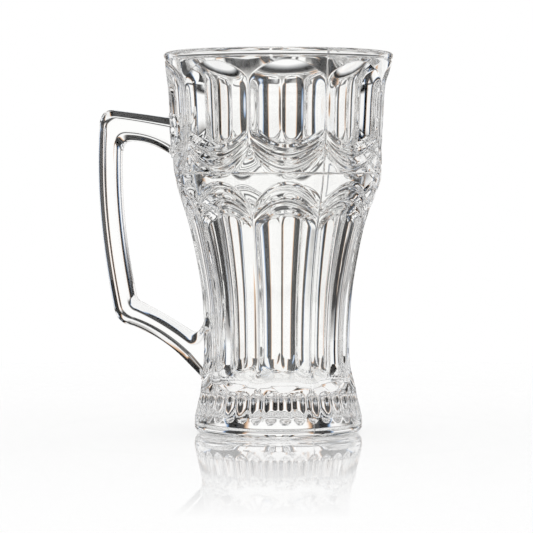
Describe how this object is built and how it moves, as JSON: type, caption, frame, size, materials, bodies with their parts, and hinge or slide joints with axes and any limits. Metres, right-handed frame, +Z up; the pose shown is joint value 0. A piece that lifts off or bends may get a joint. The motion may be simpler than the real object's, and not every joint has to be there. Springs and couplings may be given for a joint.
{
  "type": "glass mug",
  "caption": "Clear pressed-glass beer mug: a flared panelled bowl with stepped swags, arches and long flutes on a fluted foot, and an angular bar handle to lift it by.",
  "frame": {"origin": "centre of the flat base, on the bowl's axis", "axes": "+Z up along the bowl's axis, the handle toward -X"},
  "size_m": [0.1249, 0.097, 0.16],
  "materials": {
    "bowl_glass": "fire-polished clear soda-lime glass",
    "handle_glass": "fire-polished clear soda-lime glass"
  },
  "bodies": {
    "root": {"mug_body": "bowl_glass", "handle": "handle_glass"}
  },
  "joints": []
}
